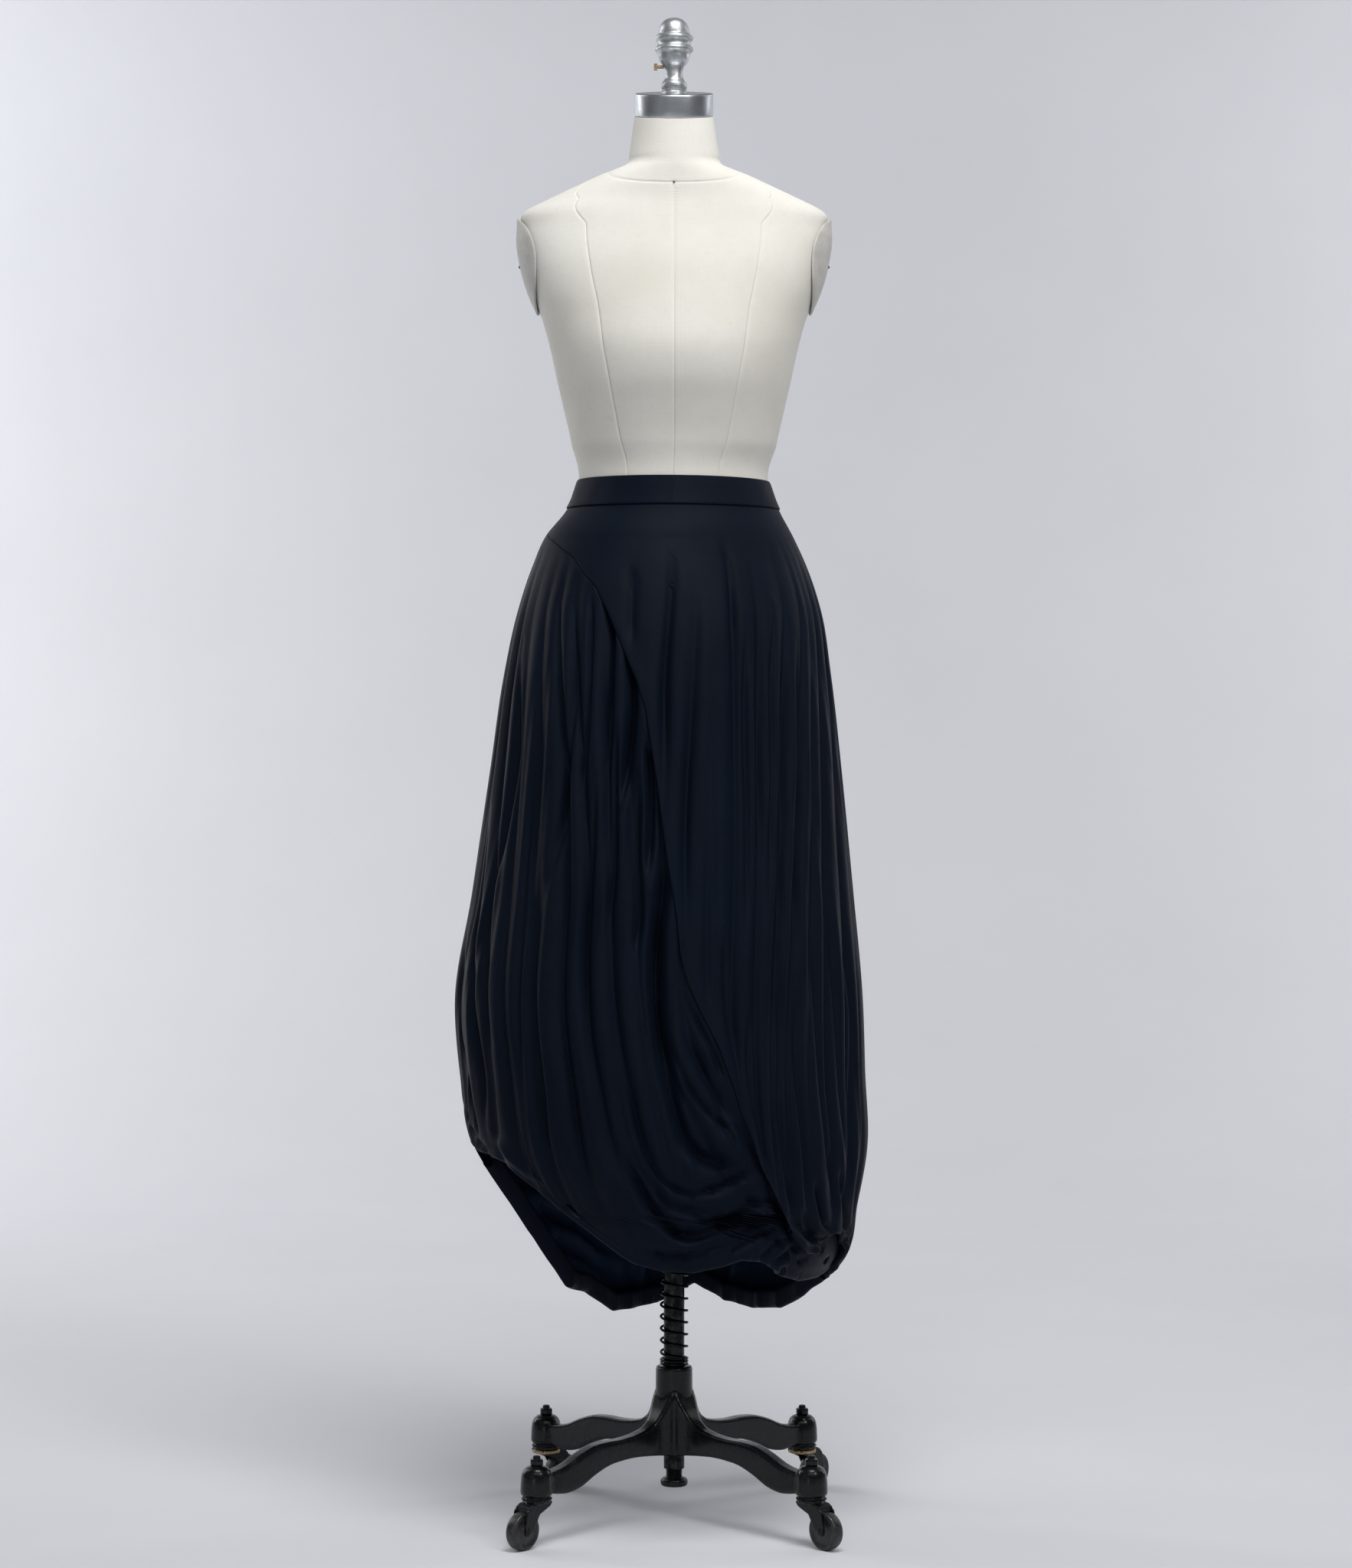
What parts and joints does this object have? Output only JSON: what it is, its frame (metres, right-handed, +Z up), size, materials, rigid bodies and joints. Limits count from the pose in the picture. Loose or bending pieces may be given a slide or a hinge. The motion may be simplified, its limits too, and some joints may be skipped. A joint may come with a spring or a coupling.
{
  "type": "draped skirt on a dress form",
  "caption": "Dark draped jersey skirt with a wrapped front, cowl folds and a turned-under hem, on a limbless canvas dress form whose stand rolls on casters.",
  "frame": {"origin": "on the floor, under the middle of the whole object", "axes": "+Z up, the form and the skirt face -Y, +X is the viewer's right"},
  "size_m": [0.4987, 0.4504, 1.811],
  "materials": {
    "jersey": "very dark navy jersey, fine knit with a soft sheen",
    "canvas": "cream linen canvas, plain and unlettered",
    "plate": "pale painted board, satin",
    "aluminium": "brushed round, dulled and scuffed",
    "zinc": "cast metal in silver paint, worn",
    "brass": "tarnished",
    "enamel": "glossy black enamel, chipped at the edges",
    "steel": "bright drawn steel, oiled",
    "wheel": "hard black tread, scuffed"
  },
  "bodies": {
    "base": {"hub": "enamel", "leg_front_left": "enamel", "nut_front_left": "enamel", "leg_front_right": "enamel", "nut_front_right": "enamel", "leg_back_right": "enamel", "nut_back_right": "enamel", "leg_back_left": "enamel", "nut_back_left": "enamel"},
    "post": {"post": "steel", "post_tail": "enamel", "post_collar": "steel", "spring": "steel"},
    "form": {"torso": "canvas", "arm_plate_left": "plate", "arm_plate_right": "plate", "neck_cap": "aluminium", "finial": "zinc", "set_screw": "brass", "waistband": "jersey", "wrap_panel": "jersey", "drape_panel": "jersey", "back_right_panel": "jersey", "back_left_panel": "jersey"},
    "fork_front_left": {"fork_front_left": "enamel"},
    "wheel_front_left": {"wheel_front_left": "wheel"},
    "fork_front_right": {"fork_front_right": "enamel"},
    "wheel_front_right": {"wheel_front_right": "wheel"},
    "fork_back_right": {"fork_back_right": "enamel"},
    "wheel_back_right": {"wheel_back_right": "wheel"},
    "fork_back_left": {"fork_back_left": "enamel"},
    "wheel_back_left": {"wheel_back_left": "wheel"}
  },
  "joints": [
    {"name": "height_slide", "type": "slide", "parent": "base", "child": "post", "axis": [0, 0, 1], "range_m": [-0.03, 0.02], "deforming": ["spring"]},
    {"name": "form_swivel", "type": "hinge", "parent": "post", "child": "form", "pos_m": [0.0155, -0.005, 0.92], "axis": [0, 0, 1], "continuous": true},
    {"name": "caster_swivel_front_left", "type": "hinge", "parent": "base", "child": "fork_front_left", "pos_m": [-0.145, -0.1655, 0.053], "axis": [0, 0, 1], "continuous": true},
    {"name": "wheel_roll_front_left", "type": "hinge", "parent": "fork_front_left", "child": "wheel_front_left", "pos_m": [-0.16074, -0.18362, 0.02225], "axis": [-0.7549, 0.6559, 0], "continuous": true},
    {"name": "caster_swivel_front_right", "type": "hinge", "parent": "base", "child": "fork_front_right", "pos_m": [0.176, -0.1655, 0.053], "axis": [0, 0, 1], "continuous": true},
    {"name": "wheel_roll_front_right", "type": "hinge", "parent": "fork_front_right", "child": "wheel_front_right", "pos_m": [0.19236, -0.18306, 0.02225], "axis": [-0.7317, -0.6816, 0], "continuous": true},
    {"name": "caster_swivel_back_right", "type": "hinge", "parent": "base", "child": "fork_back_right", "pos_m": [0.176, 0.1555, 0.053], "axis": [0, 0, 1], "continuous": true},
    {"name": "wheel_roll_back_right", "type": "hinge", "parent": "fork_back_right", "child": "wheel_back_right", "pos_m": [0.19185, 0.17352, 0.02225], "axis": [0.7507, -0.6606, 0], "continuous": true},
    {"name": "caster_swivel_back_left", "type": "hinge", "parent": "base", "child": "fork_back_left", "pos_m": [-0.145, 0.1555, 0.053], "axis": [0, 0, 1], "continuous": true},
    {"name": "wheel_roll_back_left", "type": "hinge", "parent": "fork_back_left", "child": "wheel_back_left", "pos_m": [-0.12698, 0.17136, 0.02225], "axis": [0.6606, -0.7507, 0], "continuous": true}
  ]
}
